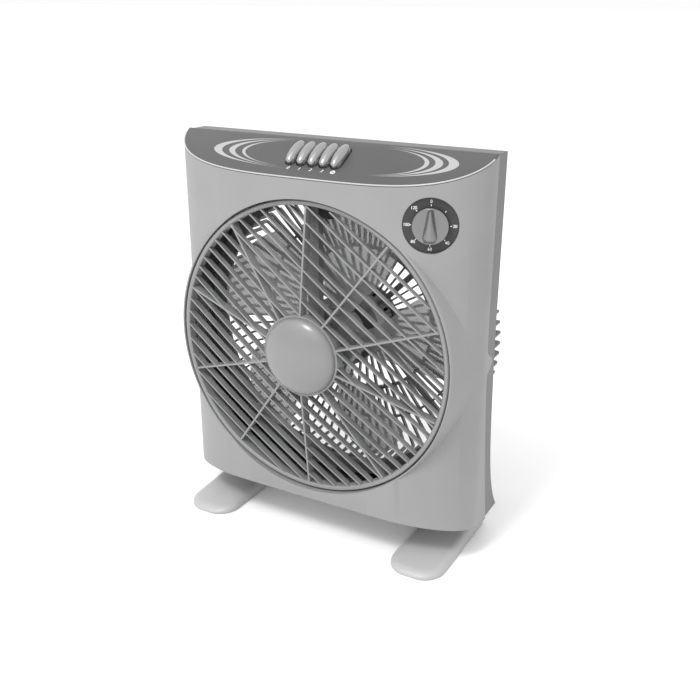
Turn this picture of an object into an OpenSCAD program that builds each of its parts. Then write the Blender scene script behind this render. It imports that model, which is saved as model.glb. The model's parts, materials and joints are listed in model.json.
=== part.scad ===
// Box fan with a rotating louvre, five piano keys and a clockwork timer.
// +X is right, +Y is back, +Z is up. The origin is on the ground at the centre of the overall box.
// Shapes are drawn about the fan axis, and at_axis() puts them in place.

/* [Cabinet] */
// Width across the cabinet
body_w = 381; // [378:1:384]
// Height from the ground to the top of the cabinet
total_h = 465; // [463:1:468]
// Height of the fan axis above the ground
axis_h = 238; // [236:1:240]
// Gap between the ground and the underside of the cabinet
body_lift = 34; // [32:1:36]
// How far the bowed face stands in front of the side walls
face_bow = 61; // [58:1:64]
// Wall thickness of both shells
wall = 2.6; // [2.2:0.1:3]

/* [Louvre] */
// Radius of the round opening in the front shell
opening_r = 172; // [171:0.5:173]
// Outer radius of the louvre rim
louvre_r = 170.5; // [170:0.5:171]
// Distance between slats
slat_pitch = 14.2; // [14:0.1:14.4]
// Depth of slats and spokes, front to back
slat_depth = 12; // [10:0.5:12]
// Angle of the slats below horizontal
slat_angle = 36.5; // [34:0.5:38]

/* [Rotor] */
// Radius of the blade tips
blade_r = 150; // [145:1:152]
// Number of blades
blades = 5; // [4:1:6]
// Pitch of the blades
blade_pitch = 24; // [22:1:26]

/* [Rear grille] */
// Outer radius of the basket
basket_r = 178; // [177:0.5:178.5]
// Ribs in the outer ring; the inner ring has half as many
outer_ribs = 88; // [80:8:88]

/* [Controls] */
// Distance between keys
key_pitch = 13.7; // [13.6:0.1:14]
// Length of a key along the slope
key_len = 36; // [34:0.5:37]
// How far a key travels when it is pressed
key_travel = 5; // [4:0.5:5]
// Radius of the timer dial
dial_r = 28.2; // [27:0.1:28.5]
// Radius of the timer knob
knob_r = 18.2; // [17:0.1:19]

/* [Feet] */
// Width of a foot
foot_w = 65; // [60:1:68]
// Distance from the middle of the cabinet to the middle of a foot
foot_x = 142; // [138:1:144]

/* [Hidden] */
$fn = 64;

// Heights and depths measured from the fan axis; the louvre rim's front plane is at y = 0
half_w = body_w / 2;
top_z = total_h - axis_h;
bottom_z = body_lift - axis_h;
ground_z = -axis_h;
side_y = 55;
back_y = 81;
face_y = side_y - face_bow;
bow_power = 3.6;
chin_z = -186.5;
chin_y = 80;
rear_in = 1.2;
lip_back = 40;
seam = 0.15;
far = 400;

// Slanted panel: the line of its surface in the Y, Z plane
panel_back_y = 52.6;
panel_run = 1.8;
panel_tilt = atan(1 / panel_run);
panel_t = 1.6;
panel_mid = [0, 26.5, top_z - (panel_back_y - 26.5) / panel_run];

// Duct behind the opening, the basket that fills it, and the motor on the basket's plate
duct_r = basket_r + 1.5;
flange_y = 76;
basket_y = 137;
basket_corner = 4;
rib_w = 2.2;
rib_d = 4.4;
rib_step = 0.3;
strut_w = 7;
ring_r = 92;
plate_r = 46;
motor_r = 43;
shaft_r = 4;
run_fit = 0.05;

// Louvre: a shallow cone that rises from the rim towards the hub
cone_slope = 0.13;
rim_inner_r = 165;
hub_r = 47;
hub_y = -(louvre_r - hub_r) * cone_slope;
rim_step = (louvre_r - rim_inner_r) * cone_slope;
cap_r = 44.4;
cap_h = 16.5;
cap_lip = 1.2;
front_y = (cap_lip + cap_h - hub_y - 1 - basket_y) / 2;
slat_lean = 16;
slat_t = 1.7;
spoke_w = 2.2;
spokes = 10;

// Timer dial on a flat seat that is sunk in the bowed face
dial_pos = [139, 10, 158.6];
dial_turn = 20;

// Screws share one size
screw_r = 1.6;
screw_head_r = 3.4;
pilot = 0.1;
shell_screw_at = [[-176, 199], [176, 199], [-181, 96], [181, 96], [-180, -188], [180, -188]];
grille_screw_angles = [47, 133, 227, 313];
foot_screw_y = [76, 98];
pad_y = [12, 118];
neck_w = 34;
neck_y = 62;

// Hand recess in the back, and the hole the mains lead would pass through
grip_w = 96;
grip_h = 22;
grip_z = 201;
grip_depth = 22;
gland_at = [128, -176];
gland_seat = 5;

// Keys
key_r = 6.4;
key_rise = 3;
key_window_r = key_r + 0.5;

module at_axis() { translate([0, front_y, axis_h]) children(); }

// Local +Z points to the front, local Y is up
module forward(y) { translate([0, y, 0]) rotate([90, 0, 0]) children(); }

// Extrudes a Y, Z outline along X, centred
module across(width) { rotate([90, 0, 90]) translate([0, 0, -width / 2]) linear_extrude(width) children(); }

// Local +Z is the panel's outward normal, local Y is up the slope
module on_panel() { translate(panel_mid) rotate([panel_tilt, 0, 0]) children(); }

// Local +Z points out of the dial, local Y is up
module on_dial() { translate(dial_pos) rotate([90, 0, dial_turn]) children(); }

module tube(r_out, r_in, h) {
    difference() {
        cylinder(h = h, r = r_out);
        translate([0, 0, -1]) cylinder(h = h + 2, r = r_in);
    }
}

module screw(length) {
    cylinder(h = length, r = screw_r, $fn = 24);
    translate([0, 0, length]) difference() {
        cylinder(h = 2.2, r = screw_head_r, $fn = 32);
        for (a = [0, 90]) rotate(a) translate([-2, -0.4, 1]) cube([4, 0.8, 2]);
    }
}

// --- Cabinet outline ---

function bow(s, inset) = side_y - (face_bow - inset) * sqrt(1 - pow(abs(s), bow_power));
function face_points(inset) = [for (a = [-90:3:90]) [(half_w - inset) * sin(a), bow(sin(a), inset)]];

// Depth of the line between the two shells, with its rounded tab at mid height
function fade(z) = max(0, min(1, (65 - z) / (65 - bottom_z)));
function tab(z) = abs(z - 2) < 16 ? (1 + cos((z - 2) * 180 / 16)) / 2 : 0;
function seam_y(z) = side_y + 31 * pow(fade(z), 1.7) + 16 * tab(z);

// Depth of the back wall, which sweeps back at the foot of the cabinet
function sweep(z) = max(0, min(1, (60 - z) / (60 - bottom_z)));
function wall_y(z) = back_y + 16 * pow(sweep(z), 1.5) + 27 * pow(sweep(z), 7);

function heights() = concat(
    [for (k = [0:19]) bottom_z + k * (-20 - bottom_z) / 20],
    [for (k = [0:14]) -20 + k * 3],
    [for (k = [0:8]) 25 + k * (top_z - 25) / 8]
);
function at_angle(r, a) = r * [cos(a), sin(a)];
function arc(c, r, from, to, steps) = [for (k = [0:steps]) c + at_angle(r, from + k * (to - from) / steps)];

module plan(inset) {
    polygon(concat(face_points(inset), [[half_w - inset, far], [inset - half_w, far]]));
}

module column(inset) {
    translate([0, 0, bottom_z + inset]) linear_extrude(top_z - bottom_z - 2 * inset) plan(inset);
}

// Everything behind the panel plane, lowered by drop; the underside rises towards the face
module under_panel(drop, inset) {
    lift = drop / cos(panel_tilt);
    across(far * 2) polygon([
        [face_y + inset, chin_z + inset + 6],
        [face_y + inset + 1.4, chin_z + inset + 2],
        [face_y + inset + 5, chin_z + inset],
        [chin_y, bottom_z + inset],
        [far, bottom_z + inset],
        [far, top_z],
        [panel_back_y + lift * panel_run, top_z],
        [face_y + inset, top_z - lift - (panel_back_y - face_y - inset) / panel_run]
    ]);
}

module before_seam() {
    across(far * 2) polygon(concat(
        [for (z = heights()) [seam_y(z) - seam, z]],
        [[-far, top_z], [-far, bottom_z]]
    ));
}

module behind_seam() {
    across(far * 2) polygon(concat(
        [for (z = heights()) [seam_y(z) + seam, z]],
        [[far, top_z], [far, bottom_z]]
    ));
}

module before_wall(inset) {
    across(far * 2) polygon(concat(
        [for (z = heights()) [wall_y(z) - inset, z]],
        [[-far, top_z], [-far, bottom_z]]
    ));
}

module key_window(depth) {
    for (k = [-2:2]) on_panel() translate([k * key_pitch, 0, -depth]) {
        linear_extrude(depth + 10) {
            for (side = [-1, 1]) translate([0, side * (key_len / 2 - key_r)]) circle(key_window_r, $fn = 32);
            square([2 * key_window_r, key_len - 2 * key_r], center = true);
        }
    }
}

// --- Shells ---

// Collar around the opening: its outside is a steep cone that meets the bowed face at both sides
module opening_lip() {
    forward(lip_back) rotate_extrude($fn = 180) polygon([
        [opening_r, lip_back + 1.5], [173.2, lip_back + 1.5], [174.4, lip_back + 0.6], [175.4, lip_back - 2],
        [187, 0], [184.2, 0], [175.5, lip_back - 11.5], [opening_r, lip_back - 11.5]
    ]);
    intersection() {
        column(0);
        forward(8) tube(opening_r + wall, opening_r, 24);
    }
}

module screw_post(p, from_y, to_y) {
    translate([p[0], 0, p[1]]) forward(to_y) difference() {
        cylinder(h = to_y - from_y, r = 4.6, $fn = 32);
        translate([0, 0, -1]) cylinder(h = 14, r = screw_r + pilot, $fn = 24);
    }
}

module front_shell() {
    color("silver") at_axis() {
        difference() {
            union() {
                difference() {
                    intersection() {
                        column(0);
                        under_panel(panel_t, 0);
                    }
                    intersection() {
                        column(wall);
                        under_panel(panel_t + wall, wall);
                    }
                    forward(60) cylinder(h = 100, r = opening_r, $fn = 180);
                }
                opening_lip();
                intersection() {
                    column(0);
                    on_dial() translate([0, 0, -wall]) cylinder(h = 12, r = dial_r + 3, $fn = 96);
                    forward(60) tube(far, opening_r + 1, 100);
                }
            }
            far_cut();
            on_dial() cylinder(h = 30, r = dial_r + 0.3, $fn = 96);
            on_dial() translate([0, 0, -10]) cylinder(h = 20, r = 5.2, $fn = 48);
            key_window(12);
            foot_holes();
            arm_holes();
            on_dial() translate([-21.5, -21.5, -31]) cube([43, 43, 25.2]);
            on_panel() translate([-40, -16, -28]) cube([80, 32, 17.5]);
            translate([-14.4, 20.45, opening_r - 8]) cube([28.8, 30, 15.45]);
            on_panel() translate([0, 0, -40]) for (k = [-1, 1]) translate([k * 46, 0, 0])
                cylinder(h = 36.5, r = screw_r + pilot, $fn = 24);
        }
        arm_seat();
        intersection() {
            column(wall / 2);
            under_panel(panel_t + 1, wall / 2);
            union() {
                for (p = shell_screw_at) screw_post(p, bow(p[0] / half_w, wall) - 2, seam_y(p[1]) - 6);
                for (x = [-foot_x, foot_x]) foot_boss(x, foot_screw_y[0]);
                for (k = [-1, 1]) on_panel() translate([k * 46, 0, -10.95]) tube(4, screw_r + pilot, 8);
            }
        }
    }
}

// What lies behind the seam is not part of the front shell
module far_cut() {
    difference() {
        translate([-far, 0, -far]) cube([2 * far, far, 2 * far]);
        before_seam();
    }
}

// Block under the lip that the louvre arm is screwed to
module arm_seat() {
    difference() {
        translate([-14, 8, opening_r + 0.5]) cube([28, 12.4, 5]);
        arm_holes();
    }
}

module arm_holes() {
    for (k = [-1, 1]) translate([k * 9, 30, opening_r + 3]) rotate([90, 0, 0])
        cylinder(h = 18, r = screw_r + pilot, $fn = 24);
}

module rear_shell() {
    color("darkgray") at_axis() {
        difference() {
            union() {
                difference() {
                    rear_block(0);
                    rear_block(wall);
                    forward(150) cylinder(h = 120, r = duct_r, $fn = 180);
                }
                intersection() {
                    forward(130) tube(duct_r + wall, duct_r, 130 - flange_y + 6);
                    before_wall(0);
                }
                grip_tub();
                flange_ledge();
                translate([gland_at[0], 0, gland_at[1]])
                    forward(wall_y(gland_at[1]) + gland_seat) cylinder(h = 10, r = 11);
            }
            grip_pocket();
            for (p = shell_screw_at) translate([p[0], 0, p[1]]) {
                forward(150) cylinder(h = 100, r = screw_r + pilot, $fn = 24);
                forward(wall_y(p[1]) + 5) cylinder(h = 9, r = screw_head_r + 0.3, $fn = 32);
            }
            translate([gland_at[0], 0, gland_at[1]]) forward(150) cylinder(h = 100, r = 6.1, $fn = 48);
            for (a = grille_screw_angles) rotate([0, -a, 0]) translate([basket_r - 5, 0, 0])
                forward(flange_y + 2) cylinder(h = 8, r = screw_r + pilot, $fn = 24);
            foot_holes();
        }
        intersection() {
            before_wall(wall / 2);
            for (p = shell_screw_at) rear_post(p);
        }
        for (x = [-foot_x, foot_x]) foot_boss(x, foot_screw_y[1]);
    }
}

module rear_block(inset) {
    front = inset == 0 ? 0 : -far;
    in = inset + rear_in;
    intersection() {
        translate([in - half_w, front, bottom_z + in])
            cube([body_w - 2 * in, far * 2, top_z - bottom_z - 2 * in]);
        before_wall(inset);
        union() {
            behind_seam();
            if (inset > 0) before_seam_fill();
        }
    }
}

// Opens the hollow of the rear shell right through its front
module before_seam_fill() { translate([-far, -far, -far]) cube([2 * far, far + 100, 2 * far]); }

// Ledge inside the duct that the grille's flange is screwed to
module flange_ledge() { forward(flange_y - 0.2) tube(duct_r + 0.5, 168, 2.8); }

module rear_post(p) {
    y = wall_y(p[1]);
    translate([p[0], 0, p[1]]) forward(y - 1) difference() {
        tube(5.6, screw_r + pilot, y - 1 - seam_y(p[1]) + 5);
        translate([0, 0, -1]) cylinder(h = 4, r = screw_head_r + 0.3, $fn = 32);
    }
}

// Boss on the floor of a shell that a foot screw goes into
module foot_boss(x, y) { translate([x, y, bottom_z]) tube(5, screw_r + pilot, 11); }

module foot_holes() {
    for (x = [-foot_x, foot_x], y = foot_screw_y)
        translate([x, y, bottom_z - 1]) cylinder(h = 14, r = screw_r + pilot, $fn = 24);
}

module grip_pocket() {
    translate([-grip_w / 2, back_y - grip_depth, grip_z - grip_h / 2])
        cube([grip_w, grip_depth + 5, grip_h]);
}

module grip_tub() {
    translate([-grip_w / 2 - 2, back_y - grip_depth - 2, grip_z - grip_h / 2 - 2])
        cube([grip_w + 4, grip_depth + 1, grip_h + 4]);
}

module control_panel() {
    color("dimgray") at_axis() difference() {
        intersection() {
            column(0.3);
            across(far * 2) polygon([
                [panel_back_y, top_z],
                [face_y - 10, top_z - (panel_back_y - face_y + 10) / panel_run],
                [face_y - 10, top_z - (panel_back_y - face_y + 10) / panel_run - panel_t],
                [panel_back_y + 2, top_z + 2 / panel_run - panel_t],
                [panel_back_y + 2, top_z]
            ]);
        }
        key_window(20);
    }
}

// --- Rear grille ---

// One outer rib of the back, its end rounded where it meets the wall
module back_rib() {
    back = basket_y - rib_step;
    translate([0, 0, -rib_w / 2]) linear_extrude(rib_w) polygon(concat(
        [[ring_r - 1, back - rib_d], [basket_r, back - rib_d]],
        arc([basket_r - basket_corner, back - basket_corner], basket_corner, 0, 90, 4),
        [[ring_r - 1, back]]
    ));
}

module flat_rib(r_in, r_out, w, step) {
    translate([r_in, basket_y - step - rib_d, -w / 2]) cube([r_out - r_in, rib_d, w]);
}

// Rings and plate stand a little proud of the ribs on both faces
module grille_ring(r_out, r_in) { forward(basket_y) tube(r_out, r_in, rib_d + 2 * rib_step); }

module rear_grille() {
    color("gray") at_axis() {
        for (k = [0:outer_ribs - 1]) rotate([0, k * 360 / outer_ribs, 0]) back_rib();
        for (k = [0:outer_ribs / 2 - 1]) rotate([0, (k + 0.5) * 720 / outer_ribs, 0])
            flat_rib(plate_r - 1, ring_r + 1, rib_w, rib_step);
        for (k = [0:3]) rotate([0, 45 + k * 90, 0])
            flat_rib(plate_r - 1, basket_r - basket_corner - 1, strut_w, rib_step / 2);
        grille_ring(ring_r + 2, ring_r - 2);
        grille_ring(134, 131.5);
        forward(basket_y) difference() {
            cylinder(h = rib_d + 2 * rib_step, r = plate_r);
            for (a = [45:90:315]) rotate(a) translate([30, 0, -1]) {
                cylinder(h = 8, r = screw_r + pilot, $fn = 24);
                cylinder(h = 3.4, r = screw_head_r + 0.3, $fn = 32);
            }
        }
    }
}

// Open wall of the basket: a flange and the bars that carry the back
module grille_wall() {
    bar_y = flange_y + 2;
    bar_end = basket_y - rib_step - rib_d - 0.05;
    color("gray") at_axis() {
        for (k = [0:outer_ribs - 1]) rotate([0, k * 360 / outer_ribs, 0])
            translate([basket_r - rib_d, bar_y, -rib_w / 2]) cube([rib_d, bar_end - bar_y, rib_w]);
        forward(flange_y + 4) difference() {
            tube(basket_r + 0.8, 166, 4);
            for (a = grille_screw_angles) rotate(a) translate([basket_r - 5, 0, -1])
                cylinder(h = 8, r = screw_r + pilot, $fn = 24);
        }
    }
}

// --- Feet ---

// Side view of a foot's base: thin at the toe and level under the cabinet
module foot_side() {
    z0 = ground_z + 1;
    polygon([
        [-21, z0], [-21, z0 + 3], [-19, z0 + 5.5], [-12, z0 + 7.2], [0, z0 + 8.6],
        [14, z0 + 10.5], [30, z0 + 14.5], [53, z0 + 19.5], [64, z0 + 21],
        [118, z0 + 21], [130, z0 + 17], [137, z0 + 9], [137, z0]
    ]);
}

// Side view of the neck between a foot's base and the underside of the cabinet
module neck_side() {
    slope = (chin_z - bottom_z) / (chin_y - face_y - 5);
    polygon([
        [neck_y - 30, bottom_z + slope * (chin_y - neck_y + 30) - 0.05], [neck_y - 30, ground_z + 4],
        [124, ground_z + 4], [124, bottom_z - 0.05], [chin_y, bottom_z - 0.05]
    ]);
}

// A rectangle from y0 to y1 with its front corners and back corners rounded
module rounded(half, y0, y1, r_front, r_back) {
    for (side = [-1, 1]) {
        translate([side * (half - r_front), y0 + r_front]) circle(r_front, $fn = 72);
        translate([side * (half - r_back), y1 - r_back]) circle(r_back, $fn = 48);
    }
    translate([-half, y0 + r_front]) square([2 * half, y1 - y0 - r_front - r_back]);
    translate([r_front - half, y0]) square([2 * (half - r_front), r_front + 1]);
    translate([r_back - half, y1 - r_back - 1]) square([2 * (half - r_back), r_back + 1]);
}

module foot(x) {
    translate([x, 0, 0]) difference() {
        union() {
            intersection() {
                translate([0, 0, ground_z]) linear_extrude(body_lift) rounded(foot_w / 2, -21, 137, 26, 14);
                across(foot_w + 10) foot_side();
            }
            intersection() {
                translate([0, 0, ground_z]) linear_extrude(2 * body_lift)
                    rounded(neck_w / 2, neck_y, 122, neck_w / 2 - 0.5, 6);
                across(foot_w + 10) neck_side();
            }
        }
        for (y = pad_y) translate([0, y, ground_z]) cylinder(h = 3, r = 10.2);
        for (y = foot_screw_y) translate([0, y, ground_z - 1]) {
            cylinder(h = body_lift + 4, r = screw_r + pilot, $fn = 24);
            cylinder(h = 14, r = screw_head_r + 0.4, $fn = 32);
        }
    }
}

module foot_left() { color("lightgray") at_axis() foot(-foot_x); }
module foot_right() { color("lightgray") at_axis() foot(foot_x); }

module foot_pads() {
    color("black") at_axis() for (x = [-foot_x, foot_x], y = pad_y)
        translate([x, y, ground_z]) cylinder(h = 3, r = 10);
}

// --- Fasteners ---

module foot_screws() {
    color("lightsteelblue") at_axis() for (x = [-foot_x, foot_x], y = foot_screw_y)
        translate([x, y, bottom_z + 8]) mirror([0, 0, 1]) screw(body_lift - 13 + 8);
}

module shell_screws() {
    color("lightsteelblue") at_axis() for (p = shell_screw_at)
        translate([p[0], seam_y(p[1]) - 16, p[1]]) rotate([-90, 0, 0])
            screw(wall_y(p[1]) - seam_y(p[1]) + 12);
}

module grille_screws() {
    color("lightsteelblue") at_axis() for (a = grille_screw_angles) rotate([0, -a, 0])
        translate([basket_r - 5, flange_y - 6, 0]) rotate([-90, 0, 0]) screw(10.1);
}

module arm_screws() {
    color("lightsteelblue") at_axis() for (k = [-1, 1])
        translate([k * 9, 12.5, opening_r + 3]) rotate([-90, 0, 0]) screw(12);
}

module motor_screws() {
    color("lightsteelblue") at_axis() for (a = [45:90:315]) rotate([0, a, 0])
        translate([30, basket_y - 14.4, 0]) rotate([-90, 0, 0]) screw(12.1);
}

module switch_screws() {
    color("lightsteelblue") at_axis() for (k = [-1, 1]) on_panel()
        translate([k * 46, 0, -4]) mirror([0, 0, 1]) screw(9);
}

// --- Louvre and its drive ---

module louvre_arm() {
    color("gray") at_axis() {
        translate([-7, 14, 27.5]) cube([14, 6.5, opening_r - 29]);
        for (side = [-1, 1]) translate([side * 6 - 1, 20, 26]) cube([2, 4, opening_r - 30]);
        difference() {
            translate([-14, 20.5, opening_r - 6]) cube([28, 4, 13]);
            arm_holes();
        }
        translate([-14, 14, opening_r - 6]) cube([28, 10.5, 5]);
        forward(25) difference() {
            cylinder(h = 3, r = 29);
            translate([0, 0, -1]) cylinder(h = 5, r = 8);
        }
        forward(22.5) tube(29, 26.3, 8.5);
    }
}

module arm_grommet() {
    color("black") at_axis() translate([7, 14, opening_r - 22]) cube([16, 9, 15]);
}

module louvre_motor() {
    color("gainsboro") at_axis() forward(22) difference() {
        union() {
            cylinder(h = 16, r = 26);
            cylinder(h = 19, r = 7);
        }
        translate([0, 0, 4]) cylinder(h = 20, r = 3 + run_fit, $fn = 48);
    }
}

module louvre_shaft() {
    color("gray") at_axis() forward(16) cylinder(h = 27, r = 3, $fn = 48);
}

// Band between two cones that all slats and spokes are cut from
module louvre_band() {
    rotate([90, 0, 0]) rotate_extrude($fn = 180) polygon([
        [hub_r - 1.2, -hub_y - slat_depth],
        [hub_r - 1.2, -hub_y],
        [rim_inner_r + 1, rim_step],
        [rim_inner_r + 1, rim_step - slat_depth + 1]
    ]);
}

module slat(offset) {
    half = sqrt(pow(rim_inner_r + 1, 2) - offset * offset);
    rotate([0, slat_angle, 0]) translate([-half, hub_y / 2, offset]) rotate([-slat_lean, 0, 0])
        translate([0, -20, -slat_t / 2]) cube([2 * half, 44, slat_t]);
}

module louvre() {
    color("silver") at_axis() {
        intersection() {
            louvre_band();
            union() {
                for (k = [0:10], side = [-1, 1]) slat(side * slat_pitch * (k + 0.5));
                for (k = [0:spokes - 1]) rotate([0, k * 360 / spokes - 18, 0])
                    translate([hub_r - 2, -30, -spoke_w / 2]) cube([rim_inner_r - hub_r + 2, 60, spoke_w]);
            }
        }
        forward(10.5) rotate_extrude($fn = 180) polygon([
            [rim_inner_r, 0], [louvre_r, 0], [louvre_r, 10],
            [louvre_r - 1.2, 11.6], [rim_inner_r + 1.4, 11.6], [rim_inner_r, 10.4]
        ]);
        forward(hub_y + slat_depth) {
            tube(hub_r, hub_r - 2.4, slat_depth);
            tube(hub_r - 1, 7, 2.4);
            tube(9, 3 + run_fit, 6.9);
        }
    }
}

module louvre_screw() {
    color("lightsteelblue") at_axis() forward(-11) cylinder(h = 2.2, r = 6, $fn = 48);
}

module louvre_cap() {
    color("lightgray") at_axis() forward(hub_y + 1) rotate_extrude($fn = 120) polygon(concat(
        [[cap_r - 2, 0], [cap_r, 0], [cap_r, cap_lip]],
        [for (k = [1:17]) [cap_r * cos(k * 5), cap_lip + cap_h * pow(sin(k * 5), 0.94)]],
        [[0, cap_lip + cap_h], [0, cap_h - 1]],
        [for (k = [16:-1:1]) [(cap_r - 2) * cos(k * 5), (cap_h - 1) * pow(sin(k * 5), 0.94)]]
    ));
}

// --- Motor ---

module motor_cup(depth, mouth_y, boss_r) {
    forward(mouth_y) rotate_extrude($fn = 96) polygon([
        [motor_r - 2, 0], [motor_r, 0], [motor_r, depth - 8], [motor_r - 6, depth], [boss_r + 3, depth + 2],
        [boss_r + 3, depth + 4], [boss_r, depth + 4], [boss_r, depth - 2],
        [motor_r - 7, depth - 2], [motor_r - 2, depth - 9]
    ]);
}

module motor_front_cap() {
    color("dimgray") at_axis() difference() {
        motor_cup(20, 92, 8);
        for (a = [0:30:330]) rotate([0, a, 0]) translate([26, 60, -2]) cube([11, 20, 4]);
    }
}

module motor_rear_cap() {
    color("dimgray") at_axis() difference() {
        forward(132) difference() {
            cylinder(h = 24, r = motor_r, $fn = 96);
            translate([0, 0, 2.5]) cylinder(h = 30, r = motor_r - 2, $fn = 96);
            translate([0, 0, -1]) cylinder(h = 5, r = 8);
        }
        for (a = [45:90:315]) rotate([0, a, 0]) translate([30, 120, 0]) rotate([-90, 0, 0])
            cylinder(h = 20, r = screw_r + pilot, $fn = 24);
        for (a = [0:30:330]) rotate([0, a, 0]) translate([motor_r - 5, 114, -2]) cube([10, 10, 4]);
    }
}

module stator_core() { color("slategray") at_axis() forward(107.8) tube(motor_r, 22.4, 15.6); }
module winding(y) { forward(y) rotate_extrude($fn = 96) translate([31, 5.5]) circle(5.4, $fn = 40); }
module winding_front() { color("peru") at_axis() winding(91.9); }
module winding_rear() { color("peru") at_axis() winding(119); }
module front_bush() { color("goldenrod") at_axis() forward(75.5) tube(7.95, shaft_r + run_fit, 7); }
module rear_bush() { color("goldenrod") at_axis() forward(132) tube(7.95, shaft_r + run_fit, 7); }
module motor_shaft() {
    color("silver") at_axis() difference() {
        forward(131) cylinder(h = 99.5, r = shaft_r, $fn = 48);
        translate([-12, 62, 0]) rotate([0, 90, 0]) cylinder(h = 24, r = 1.52, $fn = 24);
    }
}
module rotor_core() { color("slategray") at_axis() forward(109) tube(22, shaft_r + 0.02, 18); }
module drive_pin() {
    color("silver") at_axis() translate([-12, 62, 0]) rotate([0, 90, 0]) cylinder(h = 24, r = 1.5, $fn = 24);
}

// --- Rotor ---

// A blade is a curved sheet, pitched about its own radius and trimmed to its outline
module blade() {
    camber_r = 190;
    intersection() {
        translate([0, 56, 0]) rotate([blade_pitch, 0, 0])
            translate([30, camber_r, 0]) rotate([0, 90, 0])
                tube(camber_r + 1.1, camber_r - 1.1, blade_r - 20);
        forward(92) linear_extrude(62) blade_outline();
    }
}

// Outline seen from the front: both edges sweep back, the tip corners are round
module blade_outline() {
    polygon(concat(
        [[34, -12]],
        [for (k = [0:10]) at_angle(40 + k * 9.6, -20 - 3.5 * sin(k * 18))],
        [for (k = [0:8]) at_angle(blade_r - 7 * pow(abs(k - 4) / 4, 3), -18 + k * 4.6)],
        [for (k = [10:-1:0]) at_angle(40 + k * 9.6, 22 + 5 * sin(k * 18 - 90))],
        [[34, 14]]
    ));
}

module fan_rotor() {
    color("lightblue", 0.6) at_axis() {
        for (k = [0:blades - 1]) rotate([0, -4 - k * 360 / blades, 0]) blade();
        forward(70) difference() {
            cylinder(h = 32, r = 37, $fn = 96);
            translate([0, 0, -1]) cylinder(h = 30, r = 34.5, $fn = 96);
            cylinder(h = 40, r = shaft_r + 0.1, $fn = 48);
        }
        forward(66) difference() {
            tube(10, shaft_r + 0.1, 27);
            translate([-20, -1.6, 2.4]) cube([40, 3.2, 3.2]);
        }
    }
}

module rotor_nut() {
    color("dimgray") at_axis() forward(37.9) difference() {
        union() {
            cylinder(h = 3, r = 16);
            cylinder(h = 8.5, r = 11);
        }
        translate([0, 0, -1]) cylinder(h = 8, r = shaft_r + 0.1, $fn = 48);
    }
}

// --- Keys and their switches ---

module switch_bank() {
    color("whitesmoke") at_axis() on_panel() difference() {
        union() {
            translate([-39, -15, -27]) cube([78, 30, 16]);
            translate([-52, -6, -13]) cube([104, 12, 2]);
        }
        for (k = [-2:2]) translate([k * key_pitch - 2.15, -5.15, -21 - key_travel])
            cube([4.3, 10.3, 30]);
        for (k = [-1, 1]) translate([k * 46, 0, -15]) cylinder(h = 6, r = screw_r + pilot, $fn = 24);
    }
}

module key(k) {
    color("lightsteelblue") at_axis() on_panel() translate([(k - 2) * key_pitch, 0, 0]) difference() {
        union() {
            translate([0, 0, key_rise]) rotate([-90, 0, 0]) rotate_extrude($fn = 64) polygon(concat(
                [[0, -key_len / 2]],
                [for (i = [1:15]) [key_r * pow(sin(i * 11.25), 0.8), -key_len / 2 * cos(i * 11.25)]],
                [[0, key_len / 2]]
            ));
            translate([0, 0, -3.2]) linear_extrude(key_rise + 3.2) {
                for (side = [-1, 1]) translate([0, side * (key_len / 2 - key_r - 1)])
                    circle(key_r - 0.3, $fn = 32);
                square([2 * key_r - 0.6, key_len - 2 * key_r - 2], center = true);
            }
        }
        translate([-2.1, -5.1, -4]) cube([4.2, 10.2, 4]);
    }
}

module key_stem(k) {
    color("dimgray") at_axis() on_panel() translate([(k - 2) * key_pitch - 2, -5, -18]) cube([4, 10, 17.9]);
}

module key_0() { key(0); }
module key_1() { key(1); }
module key_2() { key(2); }
module key_3() { key(3); }
module key_4() { key(4); }
module key_stem_0() { key_stem(0); }
module key_stem_1() { key_stem(1); }
module key_stem_2() { key_stem(2); }
module key_stem_3() { key_stem(3); }
module key_stem_4() { key_stem(4); }

// --- Timer ---

module timer_plate() { color("black") at_axis() on_dial() tube(dial_r, 5.1, 1.6); }

module timer_knob() {
    color("silver") at_axis() on_dial() translate([0, 0, 2]) difference() {
        union() {
            rotate_extrude($fn = 96) polygon([
                [0, 0], [knob_r, 0], [knob_r, 3.2], [knob_r - 0.7, 4.6], [knob_r - 2.2, 5.6], [0, 5.6]
            ]);
            intersection() {
                rotate_extrude($fn = 96) polygon([
                    [0, 0], [knob_r - 1.6, 0], [knob_r - 1.6, 9],
                    [knob_r - 2.6, 11.5], [knob_r - 5.5, 14], [0, 14.6]
                ]);
                knob_wedge();
            }
        }
        translate([0, 0, -1]) cylinder(h = 9, r = 3 + 0.02, $fn = 48);
        translate([0, 0, -1]) cylinder(h = 3, r = 9.2, $fn = 48);
    }
}

// Finger grip of the knob: a wedge that points up the dial, wide at its foot, with sloping sides
module knob_wedge() {
    intersection() {
        linear_extrude(16) polygon([
            [-2.2, knob_r], [2.2, knob_r], [6.6, 12 - knob_r], [5.6, 1 - knob_r], [-5.6, 1 - knob_r],
            [-6.6, 12 - knob_r]
        ]);
        rotate([90, 0, 0]) translate([0, 0, -knob_r]) linear_extrude(2 * knob_r)
            polygon([[-8, 0], [8, 0], [8, 4], [3, 16], [-3, 16], [-8, 4]]);
    }
}

module timer_spindle() {
    color("gray") at_axis() on_dial() translate([0, 0, -16]) cylinder(h = 25.5, r = 3, $fn = 48);
}

module timer_body() {
    color("whitesmoke") at_axis() on_dial() difference() {
        union() {
            translate([-21, -21, -30]) cube([42, 42, 24]);
            translate([0, 0, -7]) cylinder(h = 4.2, r = 8);
            translate([0, 0, -7]) cylinder(h = 9.4, r = 5, $fn = 48);
        }
        translate([0, 0, -17]) cylinder(h = 20, r = 3 + run_fit, $fn = 48);
    }
}

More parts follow.
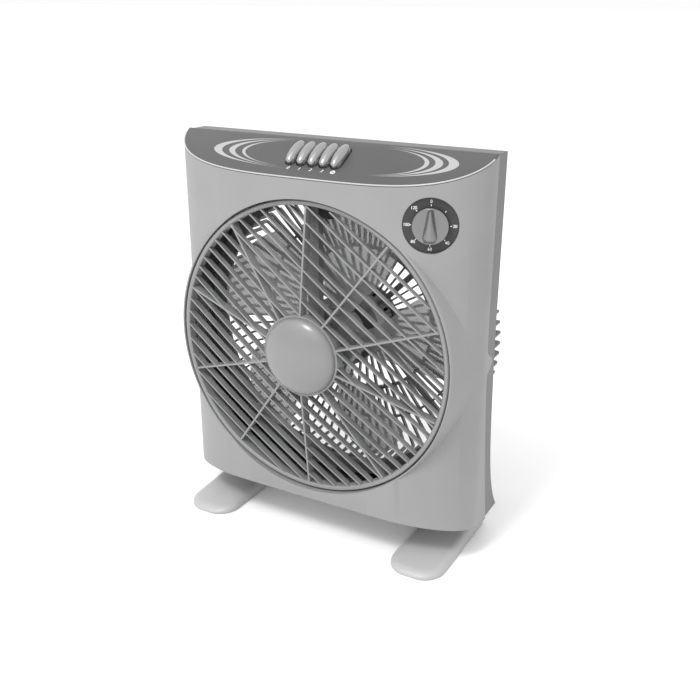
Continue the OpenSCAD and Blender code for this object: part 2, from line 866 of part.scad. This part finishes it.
module timer_nut() {
    color("lightsteelblue") at_axis() on_dial() translate([0, 0, 1.65]) difference() {
        cylinder(h = 0.9, r = 8.4);
        translate([0, 0, -1]) cylinder(h = 4, r = 5.05, $fn = 48);
    }
}

// --- Wiring ---

module capacitor() { color("whitesmoke") at_axis() translate([-92, 60, 204]) cube([36, 16, 16]); }

module capacitor_clip() {
    color("gray") at_axis() difference() {
        translate([-78, 58.3, 202.3]) cube([8, 19.4, top_z - rear_in - wall - 202.3]);
        translate([-79, 59.9, 203.9]) cube([10, 16.2, 16.2]);
    }
}

module terminal_block() {
    color("whitesmoke") at_axis() difference() {
        translate([58, 60, top_z - rear_in - wall - 12]) cube([42, 14, 12]);
        for (k = [0:3]) translate([63.5 + k * 10.3, 67, top_z - rear_in - wall - 13])
            cylinder(h = 8, r = 2, $fn = 24);
    }
}

module lead_gland() {
    color("dimgray") at_axis() translate([gland_at[0], 0, gland_at[1]])
        forward(wall_y(gland_at[1]) + gland_seat + 8) difference() {
            union() {
                cylinder(h = 26, r = 6, $fn = 48);
                translate([0, 0, 4]) cylinder(h = 3.95, r = 9, $fn = 48);
            }
            translate([0, 0, -1]) cylinder(h = 30, r = 3.6, $fn = 48);
        }
}

front_shell();
rear_shell();
control_panel();
rear_grille();
grille_wall();
foot_left();
foot_right();
foot_pads();
foot_screws();
shell_screws();
grille_screws();
louvre_arm();
arm_screws();
arm_grommet();
louvre_motor();
louvre_shaft();
louvre();
louvre_screw();
louvre_cap();
motor_rear_cap();
motor_front_cap();
stator_core();
winding_front();
winding_rear();
front_bush();
rear_bush();
motor_screws();
motor_shaft();
rotor_core();
fan_rotor();
rotor_nut();
drive_pin();
switch_bank();
switch_screws();
key_0();
key_1();
key_2();
key_3();
key_4();
key_stem_0();
key_stem_1();
key_stem_2();
key_stem_3();
key_stem_4();
timer_plate();
timer_knob();
timer_spindle();
timer_body();
timer_nut();
capacitor();
capacitor_clip();
terminal_block();
lead_gland();
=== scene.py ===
"""Box fan with a rotating louvre: finishes, printed marks, soft feet and knob, floor, light and camera."""

import json
import math

import bpy
from mathutils import Matrix, Vector


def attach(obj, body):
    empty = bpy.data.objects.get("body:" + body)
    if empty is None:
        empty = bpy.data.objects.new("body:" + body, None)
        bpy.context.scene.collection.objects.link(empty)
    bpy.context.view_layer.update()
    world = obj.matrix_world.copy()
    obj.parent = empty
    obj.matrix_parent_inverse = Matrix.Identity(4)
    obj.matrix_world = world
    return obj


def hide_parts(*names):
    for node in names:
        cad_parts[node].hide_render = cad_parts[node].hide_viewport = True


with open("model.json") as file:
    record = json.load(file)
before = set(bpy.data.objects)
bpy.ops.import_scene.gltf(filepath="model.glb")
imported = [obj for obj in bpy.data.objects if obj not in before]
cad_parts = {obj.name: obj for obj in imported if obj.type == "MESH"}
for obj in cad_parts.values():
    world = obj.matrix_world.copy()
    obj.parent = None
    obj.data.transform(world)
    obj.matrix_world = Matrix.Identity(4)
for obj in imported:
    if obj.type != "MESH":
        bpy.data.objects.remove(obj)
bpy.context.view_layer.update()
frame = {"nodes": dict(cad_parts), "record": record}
nodes = frame["nodes"]
slots = {s["node"]: s["material_slot"] for s in frame["record"]["subparts"]}

# ---------------------------------------------------------------- the part's own measures, mm
AXIS = Vector((0, -52.1225, 238))  # middle of the louvre rim
TOP = 227.0
SIDE = 190.5
SIDE_Y = 55.0
FACE_BOW = 61.0
BOW_POWER = 3.6
PANEL_BACK_Y = 52.6
PANEL_RUN = 1.8
PANEL_TILT = math.atan(1 / PANEL_RUN)
PANEL_MID_Y = 26.5
KEY_PITCH = 13.7
DIAL_POS = Vector((139, 10, 158.6))
DIAL_TURN = math.radians(20)
DIAL_THICK = 1.6


def bow(x):
    """Depth of the cabinet's face at x."""
    return SIDE_Y - FACE_BOW * math.sqrt(max(0.0, 1 - abs(x / SIDE) ** BOW_POWER))


def panel_z(y):
    """Height of the panel's surface at depth y."""
    return TOP - (PANEL_BACK_Y - y) / PANEL_RUN


def row(p):
    """A point measured from the fan axis, as metres in the row frame."""
    return (Vector(p) + AXIS) / 1000


def panel_matrix():
    """Local X is right, Y is up the slope and Z is out of the panel."""
    turn = Matrix.Rotation(PANEL_TILT, 4, "X")
    middle = row((0, PANEL_MID_Y, panel_z(PANEL_MID_Y)))
    return Matrix.Translation(middle) @ turn @ Matrix.Scale(0.001, 4)


def dial_matrix():
    """Local Z is out of the dial and Y is up."""
    turn = Matrix.Rotation(DIAL_TURN, 4, "Z") @ Matrix.Rotation(math.pi / 2, 4, "X")
    return Matrix.Translation(row(DIAL_POS)) @ turn @ Matrix.Scale(0.001, 4)


# ---------------------------------------------------------------- materials
def add(tree, kind, **inputs):
    node = tree.nodes.new(kind)
    for name, value in inputs.items():
        node.inputs[name.replace("_", " ")].default_value = value
    return node


def ramp(tree, fac, low, high):
    """Colours from low to high as fac goes from 0.35 to 0.65."""
    node = tree.nodes.new("ShaderNodeValToRGB")
    node.color_ramp.elements[0].position = 0.35
    node.color_ramp.elements[0].color = (*low, 1)
    node.color_ramp.elements[1].position = 0.65
    node.color_ramp.elements[1].color = (*high, 1)
    tree.links.new(fac, node.inputs["Fac"])
    return node.outputs["Color"]


def finish(
    name,
    colour,
    rough,
    metal=0.0,
    grain=900.0,
    bump=0.05,
    spread=0.04,
    edge=0.0,
    stretch=(1, 1, 1),
    coat=0.0,
    alpha=1.0,
    bands=None,
):
    """A surface in object space: broad tone, fine grain and uneven gloss.

    bands is an axis with a pitch and depth in metres, for stacked sheets and wound wire.
    """
    material = bpy.data.materials.new(name)
    material.use_nodes = True
    tree = material.node_tree
    shader = tree.nodes["Principled BSDF"]
    shader.inputs["Metallic"].default_value = metal
    shader.inputs["Coat Weight"].default_value = coat
    shader.inputs["Coat Roughness"].default_value = 0.15
    shader.inputs["Alpha"].default_value = alpha
    place = tree.nodes.new("ShaderNodeTexCoord")
    scale = tree.nodes.new("ShaderNodeMapping")
    scale.inputs["Scale"].default_value = stretch
    tree.links.new(place.outputs["Object"], scale.inputs["Vector"])

    broad = add(tree, "ShaderNodeTexNoise", Scale=9.0, Detail=3.0)
    tree.links.new(place.outputs["Object"], broad.inputs["Vector"])
    low = tuple(c * (1 - spread) for c in colour)
    high = tuple(min(1, c * (1 + spread)) for c in colour)
    tone = ramp(tree, broad.outputs["Fac"], low, high)
    tree.links.new(tone, shader.inputs["Base Color"])

    fine = add(tree, "ShaderNodeTexNoise", Scale=grain, Detail=2.0)
    tree.links.new(scale.outputs["Vector"], fine.inputs["Vector"])
    gloss = tree.nodes.new("ShaderNodeMapRange")
    gloss.inputs["To Min"].default_value = rough * 0.85
    gloss.inputs["To Max"].default_value = min(1, rough * 1.15)
    tree.links.new(fine.outputs["Fac"], gloss.inputs["Value"])
    tree.links.new(gloss.outputs["Result"], shader.inputs["Roughness"])

    height = fine.outputs["Fac"]
    depth = 0.0002
    if bands:
        axis, pitch, depth = bands
        wave = add(tree, "ShaderNodeTexWave", Scale=math.pi / 10 / pitch, Distortion=0.4)
        wave.bands_direction = axis
        tree.links.new(place.outputs["Object"], wave.inputs["Vector"])
        height = wave.outputs["Fac"]
    normal = tree.nodes.new("ShaderNodeBump")
    normal.inputs["Strength"].default_value = bump if not bands else 0.6
    normal.inputs["Distance"].default_value = depth
    tree.links.new(height, normal.inputs["Height"])
    if edge:
        bevel = tree.nodes.new("ShaderNodeBevel")
        bevel.samples = 4
        bevel.inputs["Radius"].default_value = edge
        tree.links.new(bevel.outputs["Normal"], normal.inputs["Normal"])
    tree.links.new(normal.outputs["Normal"], shader.inputs["Normal"])
    return material


def grey(value):
    return (value, value, value * 1.01)


FINISHES = {
    "cabinet": finish("cabinet_grain", grey(0.245), 0.42, grain=1400, bump=0.12, edge=0.0012),
    "rear_cabinet": finish("rear_grain", grey(0.125), 0.45, grain=1400, bump=0.12, edge=0.0012),
    # The feet are the cabinet's plastic; their lighter grey is painted light on their top faces.
    "feet": finish("foot_satin_painted_light", grey(0.4), 0.4, grain=1600, bump=0.06),
    "panel": finish("panel_satin", grey(0.066), 0.38, grain=1800, bump=0.08, edge=0.0005),
    "grille": finish("grille_plastic", grey(0.17), 0.5, edge=0.0004),
    # The louvre is the cabinet's plastic; its darker grey is painted shade of the recess it sits in.
    "louvre": finish("louvre_plastic_painted_shade", grey(0.215), 0.38, edge=0.0005, coat=0.1),
    "cap": finish("cap_plastic", grey(0.2), 0.34, grain=1600, bump=0.05, coat=0.35),
    "blades": finish("blade_tint", grey(0.29), 0.22, grain=300, bump=0.03, alpha=0.6, coat=0.3),
    "keys": finish("key_silver", grey(0.36), 0.24, metal=0.75, grain=2500, bump=0.04, coat=0.4),
    "knob": finish("knob_silver", grey(0.22), 0.28, metal=0.8, grain=2000, bump=0.05),
    "dial": finish("dial_black", grey(0.03), 0.55, grain=2500, bump=0.1),
    "rubber": finish("pad_rubber", grey(0.03), 0.85, grain=700, bump=0.4),
    "dark_plastic": finish("black_nylon", grey(0.05), 0.5, edge=0.0003),
    "white_plastic": finish("white_nylon", grey(0.7), 0.45, edge=0.0003),
    "motor_case": finish("case_enamel", grey(0.04), 0.35, grain=500, bump=0.1, coat=0.2),
    "laminations": finish("core_stack", grey(0.3), 0.45, metal=0.8, bands=("Y", 0.0005, 0.00015)),
    "copper": finish(
        "coil_wire", (0.62, 0.27, 0.12), 0.3, metal=0.9, bands=("DIAGONAL", 0.0006, 0.0003)
    ),
    "bronze": finish("bush_bronze", (0.62, 0.42, 0.2), 0.42, metal=1.0, grain=1500, bump=0.2),
    "steel": finish("zinc_steel", grey(0.6), 0.3, metal=1.0, grain=600, bump=0.1, stretch=(1, 0.05, 1)),
}


# ---------------------------------------------------------------- smooth shading of curved faces
CREASE = math.radians(32)


def soft_edges():
    """Joins the mesh and shades it smooth, with a crease wherever faces meet at over CREASE."""
    tree = bpy.data.node_groups.new("soft_edges", "GeometryNodeTree")
    for way in ("INPUT", "OUTPUT"):
        tree.interface.new_socket("Geometry", in_out=way, socket_type="NodeSocketGeometry")
    start = tree.nodes.new("NodeGroupInput")
    end = tree.nodes.new("NodeGroupOutput")
    merge = add(tree, "GeometryNodeMergeByDistance", Distance=0.00001)
    faces = tree.nodes.new("GeometryNodeSetShadeSmooth")
    faces.domain = "FACE"
    creases = tree.nodes.new("GeometryNodeSetShadeSmooth")
    creases.domain = "EDGE"
    creases.inputs["Shade Smooth"].default_value = False
    angle = tree.nodes.new("GeometryNodeInputMeshEdgeAngle")
    over = tree.nodes.new("FunctionNodeCompare")
    over.data_type = "FLOAT"
    over.operation = "GREATER_THAN"
    over.inputs[1].default_value = CREASE
    tree.links.new(angle.outputs["Unsigned Angle"], over.inputs[0])
    tree.links.new(over.outputs["Result"], creases.inputs["Selection"])
    tree.links.new(start.outputs[0], merge.inputs["Geometry"])
    tree.links.new(merge.outputs["Geometry"], faces.inputs["Geometry"])
    tree.links.new(faces.outputs["Geometry"], creases.inputs["Geometry"])
    tree.links.new(creases.outputs["Geometry"], end.inputs[0])
    return tree


SOFT = soft_edges()
for name, obj in nodes.items():
    obj.data.materials.clear()
    obj.data.materials.append(FINISHES[slots[name]])
    if "custom_normal" in obj.data.attributes:
        obj.data.attributes.remove(obj.data.attributes["custom_normal"])
    obj.modifiers.new("soft_edges", "NODES").node_group = SOFT


# ---------------------------------------------------------------- printed marks and trim
def piece(name, points, faces, material, matrix, body="cabinet"):
    """A mesh in the given plane that rides on a CAD body."""
    mesh = bpy.data.meshes.new(name)
    mesh.from_pydata(points, [], faces)
    mesh.materials.append(material)
    obj = bpy.data.objects.new(name, mesh)
    bpy.context.scene.collection.objects.link(obj)
    obj.matrix_world = matrix
    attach(obj, body)
    return obj


def thick_strip(outer, inner, low, high):
    """A flat band between two lines of the same length, from height low to high."""
    points = []
    for a, b in zip(outer, inner):
        points += [(*a, low), (*b, low), (*b, high), (*a, high)]
    faces = []
    for k in range(len(outer) - 1):
        a, b = 4 * k, 4 * k + 4
        faces += [(a + i, a + (i + 1) % 4, b + (i + 1) % 4, b + i) for i in range(4)]
    faces += [(0, 3, 2, 1), tuple(4 * (len(outer) - 1) + i for i in range(4))]
    return points, faces


INK_LOW = 0.02
MARK_HIGH = 0.1
STRIPE_HIGH = 0.12
STRIPE_HALF = 24.8
INK = finish("stripe_ink", grey(0.345), 0.4, grain=2500, bump=0.2, spread=0.03)
WHITE = finish("mark_ink", grey(0.8), 0.45, grain=2500, bump=0.2, spread=0.03)
ON_PANEL = panel_matrix()
ON_DIAL = dial_matrix()


def crescent(name, centre, wide, narrow, high, tilt):
    """The band between two half ellipses of one height: wide at its tip and nothing at its ends."""
    outer, inner = [], []
    turn = Matrix.Rotation(math.radians(tilt), 2)
    for k in range(61):
        a = math.radians(-87 + k * 2.9)
        for line, reach in ((outer, wide), (inner, narrow)):
            p = turn @ Vector((reach * math.cos(a), high * math.sin(a)))
            line.append((p.x + centre[0], p.y + centre[1]))
    points, faces = thick_strip(outer, inner, INK_LOW, STRIPE_HIGH)
    piece(name, points, faces, INK, ON_PANEL)


for k, (wide, narrow) in enumerate(((-114.6, -103.6), (-90.0, -82.0), (-68.6, -64.3))):
    crescent(f"stripe_left_{k}", (-20 - k * 4, 1), wide, narrow, STRIPE_HALF - k * 1.5, 0.7)
for k, (wide, narrow) in enumerate(((98.0, 87.4), (80.0, 71.8), (64.0, 59.0))):
    centre = (59 + k * 1.5, 1.3 - k * 0.4)
    crescent(f"stripe_right_{k}", centre, wide, narrow, STRIPE_HALF - k * 1.5, 3.2)


def words(name, text, size, x, y, matrix, slant=0.0):
    """A printed number, centred at x, y in the given plane."""
    curve = bpy.data.curves.new(name, "FONT")
    curve.body = text
    curve.size = size
    curve.shear = slant
    curve.extrude = 0.03
    curve.offset = 0.03
    curve.align_x = "CENTER"
    curve.align_y = "CENTER"
    curve.materials.append(WHITE)
    obj = bpy.data.objects.new(name, curve)
    bpy.context.scene.collection.objects.link(obj)
    obj.matrix_world = matrix @ Matrix.Translation((x, y, 0.06))
    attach(obj, "cabinet")


KEY_MARK_Y = -22.8


def key_mark_x(k):
    """Where the mark of key k is centred, a little right of the key."""
    return (k - 2) * KEY_PITCH + 1.5


for k in range(4):
    words(f"key_number_{k}", str(k), 5.6, key_mark_x(k), KEY_MARK_Y, ON_PANEL, slant=0.35)


def louvre_mark(cx, cy):
    """The fifth key's mark: a small ring with three slanted bars, for the turning louvre."""
    ring = [(math.cos(math.radians(a)), math.sin(math.radians(a))) for a in range(0, 361, 20)]
    outer, inner = [[(cx + r * c, cy + r * s) for c, s in ring] for r in (2.7, 2.1)]
    points, faces = thick_strip(outer, inner, INK_LOW, MARK_HIGH)
    piece("louvre_mark_ring", points, faces, WHITE, ON_PANEL)
    for k in (-1, 0, 1):
        half = 1.7 if k == 0 else 1.2
        line = [(cx + s * half + k * 0.9, cy - s * half + k * 0.9) for s in (-1, 1)]
        outer, inner = [[(x + shift, y + shift) for x, y in line] for shift in (0.2, -0.2)]
        points, faces = thick_strip(outer, inner, INK_LOW, MARK_HIGH)
        piece(f"louvre_mark_bar_{k + 1}", points, faces, WHITE, ON_PANEL)


louvre_mark(key_mark_x(4), KEY_MARK_Y)

# Minutes on the timer dial, one step every 45 degrees, with a tick inside each
DIAL_FACE = ON_DIAL @ Matrix.Translation((0, 0, DIAL_THICK))
NUMBER_R = 24.2
TICK_FROM = 19.4
TICK_TO = 21.3
TICK_HALF = 0.35
for k, text in enumerate(("0", "", "20", "40", "60", "80", "100", "120")):
    a = math.radians(90 - 45 * k)
    c, s = math.cos(a), math.sin(a)
    if text:
        words(f"minutes_{k}", text, 4.4, NUMBER_R * c, NUMBER_R * s, DIAL_FACE)
    sides = []
    for half in (TICK_HALF, -TICK_HALF):
        sides.append([(r * c - half * s, r * s + half * c) for r in (TICK_FROM, TICK_TO)])
    points, faces = thick_strip(*sides, INK_LOW, MARK_HIGH)
    piece(f"minute_tick_{k}", points, faces, WHITE, DIAL_FACE)

# The bead's lighter grey is a painted highlight along the panel's lower edge; the cabinet's plastic is the
# same there.
EDGE = finish("edge_bead_painted_highlight", grey(0.42), 0.3, grain=1600, bump=0.05, coat=0.2)


def panel_edge():
    """Rounded bead along the edge where the bowed face meets the panel, in a lighter grey than the
    cabinet: a painted highlight on that edge.
    """
    path = []
    for k in range(-60, 61):
        x = SIDE * 0.992 * math.sin(math.radians(k * 1.5))
        y = bow(x)
        path.append((x, y + 0.7, panel_z(y) - 0.2))
    bead = bpy.data.curves.new("panel_edge", "CURVE")
    bead.dimensions = "3D"
    bead.bevel_depth = 0.0008
    bead.bevel_resolution = 3
    line = bead.splines.new("POLY")
    line.points.add(len(path) - 1)
    for point, place in zip(line.points, path):
        point.co = (*row(place), 1)
    bead.materials.append(EDGE)
    edge = bpy.data.objects.new("panel_edge", bead)
    bpy.context.scene.collection.objects.link(edge)
    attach(edge, "cabinet")


panel_edge()

# ---------------------------------------------------------------- feet with soft rounded tops
FOOT_LINE = (
    (-21, 4), (-19, 6.5), (-12, 8.2), (0, 9.6), (14, 11.5), (30, 15.5),
    (53, 20.4), (64, 21.9), (118, 21.9), (130, 18), (137, 10),
)  # depth and height of a foot's top along its middle, mm
FOOT_X = 142
FOOT_HALF = 32.4
FOOT_FRONT = -20.9
FOOT_BACK = 136.9
FOOT_TALL = 21.9
FOOT_EDGE = 10.0  # width of the rounded edge
TOE_R = 26
HEEL_R = 14
SOLE_Z = 1.0
THIN = 1.2  # where the height of the edge shrinks to nothing
BODY_LIFT = 33.9
CHIN_Y = 80
CHIN_SLOPE = 0.216


def foot_top(y):
    """Height of a foot's middle line at depth y."""
    for (y0, z0), (y1, z1) in zip(FOOT_LINE, FOOT_LINE[1:]):
        if y <= y1:
            return z0 + (z1 - z0) * (y - y0) / (y1 - y0)
    return FOOT_LINE[-1][1]


def rounded(half, y0, y1, front, rear, steps=12):
    """Outline of a rectangle with its two front and two rear corners rounded."""
    corners = (
        (half - rear, y1 - rear, rear, 0),
        (rear - half, y1 - rear, rear, 90),
        (front - half, y0 + front, front, 180),
        (half - front, y0 + front, front, 270),
    )
    line = []
    for x, y, r, start in corners:
        for k in range(steps + 1):
            a = math.radians(start + 90 * k / steps)
            line.append((x + r * math.cos(a), y + r * math.sin(a)))
    return line


def foot_ring(inset, drop):
    """The foot's outline, inset and lowered by drop, or by less where the foot is thinner."""
    front, back = FOOT_FRONT + inset, FOOT_BACK - inset
    line = rounded(FOOT_HALF - inset, front, back, TOE_R - inset, max(2, HEEL_R - inset))
    scale = drop / (FOOT_TALL - THIN)
    return [(x, y, foot_top(y) - scale * (foot_top(y) - THIN)) for x, y in line]


def foot_points():
    """Rings from the sole up the side and over the edge to the middle of the top."""
    rings = [[(x, y, SOLE_Z) for x, y, z in foot_ring(0, 0)]]
    for k in range(9):
        a = math.radians(90 * k / 8)
        inset = FOOT_EDGE * (1 - math.cos(a))
        drop = FOOT_EDGE * 1.5 * (1 - math.sin(a))
        rings.append(foot_ring(inset, drop))
    rings += [foot_ring(inset, 0) for inset in (14, 18, 22, 25)]
    return rings


def neck_rings():
    """The neck between a foot and the underside of the cabinet, which rises in front of CHIN_Y."""
    line = rounded(17, 62, 120, 14, 6)
    low = [(x, y, 8.0) for x, y in line]
    high = [(x, y, BODY_LIFT + max(0.0, CHIN_Y - y) * CHIN_SLOPE) for x, y in line]
    return [low, high]


def skin(groups):
    """Closed skins over groups of rings that all have the same number of points."""
    points, faces = [], []
    for rings in groups:
        size = len(rings[0])
        first = len(points)
        for ring_points in rings:
            points += ring_points
        for r in range(len(rings) - 1):
            a, b = first + r * size, first + (r + 1) * size
            faces += [(a + i, a + (i + 1) % size, b + (i + 1) % size, b + i) for i in range(size)]
        faces.append(tuple(first + i for i in reversed(range(size))))
        faces.append(tuple(len(points) - size + i for i in range(size)))
    return points, faces


for side, name in ((-1, "foot_left"), (1, "foot_right")):
    points, faces = skin((foot_points(), neck_rings()))
    place = Matrix.Translation(row((side * FOOT_X, 0, -AXIS.z))) @ Matrix.Scale(0.001, 4)
    obj = piece(f"{name}_moulding", points, faces, FINISHES["feet"], place)
    obj.modifiers.new("soft_edges", "NODES").node_group = SOFT
    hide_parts(name)

# ---------------------------------------------------------------- timer knob with a soft wedge grip
KNOB_R = 18.1
KNOB_FLAT = 5.5
KNOB_SEAT = 2.0
RIM_FROM = 15.2
RIM_DROP = 2.6
RIDGE_HIGH = 8.6
AROUND = 120
KNOB_RINGS = 61


def unit(value):
    """The value held between 0 and 1."""
    return min(1.0, max(0.0, value))


def knob_height(x, y):
    """Height of the knob over its seat: a disc with a wedge that is narrow at the top of the dial."""
    r = math.hypot(x, y)
    rim = max(0.0, (r - RIM_FROM) / (KNOB_R - RIM_FROM))
    disc = KNOB_FLAT - RIM_DROP * rim * rim
    half = 3.2 + 4.6 * unit((13 - y) / 24)
    across = min(1.0, abs(x) / half)
    along = unit((17.0 - r) / 4.0)
    ridge = RIDGE_HIGH * (1 - across * across) * math.sqrt(along)
    return max(disc, KNOB_FLAT + ridge * (0.72 + 0.28 * (y + 18) / 36))


def knob_rings():
    """Rings from the recess over the dial's nut, out round the foot and in over the top."""
    turn = [2 * math.pi * k / AROUND for k in range(AROUND)]
    rings = []
    for r, z in ((9.3, 2.3), (9.3, 0.1), (KNOB_R, 0.1)):
        rings.append([(r * math.cos(a), r * math.sin(a), z) for a in turn])
    for k in range(KNOB_RINGS):
        r = KNOB_R * (1 - k / KNOB_RINGS)
        circle = [(r * math.cos(a), r * math.sin(a)) for a in turn]
        rings.append([(x, y, knob_height(x, y)) for x, y in circle])
    return rings


points, faces = skin((knob_rings(),))
place = ON_DIAL @ Matrix.Translation((0, 0, KNOB_SEAT))
obj = piece("knob_moulding", points, faces, FINISHES["knob"], place, "knob")
for polygon in obj.data.polygons:
    polygon.use_smooth = len(polygon.vertices) == 4
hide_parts("timer_knob")

# ---------------------------------------------------------------- floor, light and camera
FLOOR_HALF = 90
floor_mesh = bpy.data.meshes.new("floor")
corners = [(x * FLOOR_HALF, y * FLOOR_HALF, 0) for x, y in ((-1, -1), (1, -1), (1, 1), (-1, 1))]
floor_mesh.from_pydata(corners, [], [(0, 1, 2, 3)])
floor = bpy.data.objects.new("floor", floor_mesh)
bpy.context.scene.collection.objects.link(floor)
PAPER = finish("floor_paper", (0.95, 0.95, 0.95), 0.9, grain=200, bump=0.02, spread=0.005)
floor_mesh.materials.append(PAPER)

scene = bpy.context.scene
world = bpy.data.worlds.new("studio")
world.use_nodes = True
sky = world.node_tree.nodes["Background"]
sky.inputs["Color"].default_value = (1, 1, 1, 1)
sky.inputs["Strength"].default_value = 0.98
scene.world = world


def aim(obj, place, at):
    """Puts a light at place and points it at another place, in metres."""
    obj.location = place
    obj.rotation_euler = (Vector(at) - Vector(place)).to_track_quat("-Z", "Y").to_euler()
    scene.collection.objects.link(obj)


sun = bpy.data.lights.new("key", "SUN")
sun.energy = 0.75
sun.angle = math.radians(75)
aim(bpy.data.objects.new("key", sun), (-0.4, -1.6, 2.2), (0, 0, 0))

glint = bpy.data.lights.new("glint", "AREA")
glint.shape = "DISK"
glint.size = 0.6
glint.energy = 24
aim(bpy.data.objects.new("glint", glint), (-0.15, -1.2, 1.9), (0, 0, 0.25))

camera = bpy.data.cameras.new("camera")
camera.sensor_width = 36
camera.lens = 45.9
camera.clip_end = 400
eye = bpy.data.objects.new("camera", camera)
azimuth = math.radians(28.73)
elevation = math.radians(21.35)
roll = Matrix.Rotation(math.radians(0.3), 3, "Z").to_quaternion()
level = Vector((math.sin(azimuth), -math.cos(azimuth), 0))
back = level * math.cos(elevation) + Vector((0, 0, math.sin(elevation)))
eye.rotation_mode = "QUATERNION"
eye.rotation_quaternion = (-back).to_track_quat("-Z", "Y") @ roll
eye.location = row((487.6, -791.2, 365.3))
scene.collection.objects.link(eye)
scene.camera = eye
scene.view_settings.view_transform = "Standard"
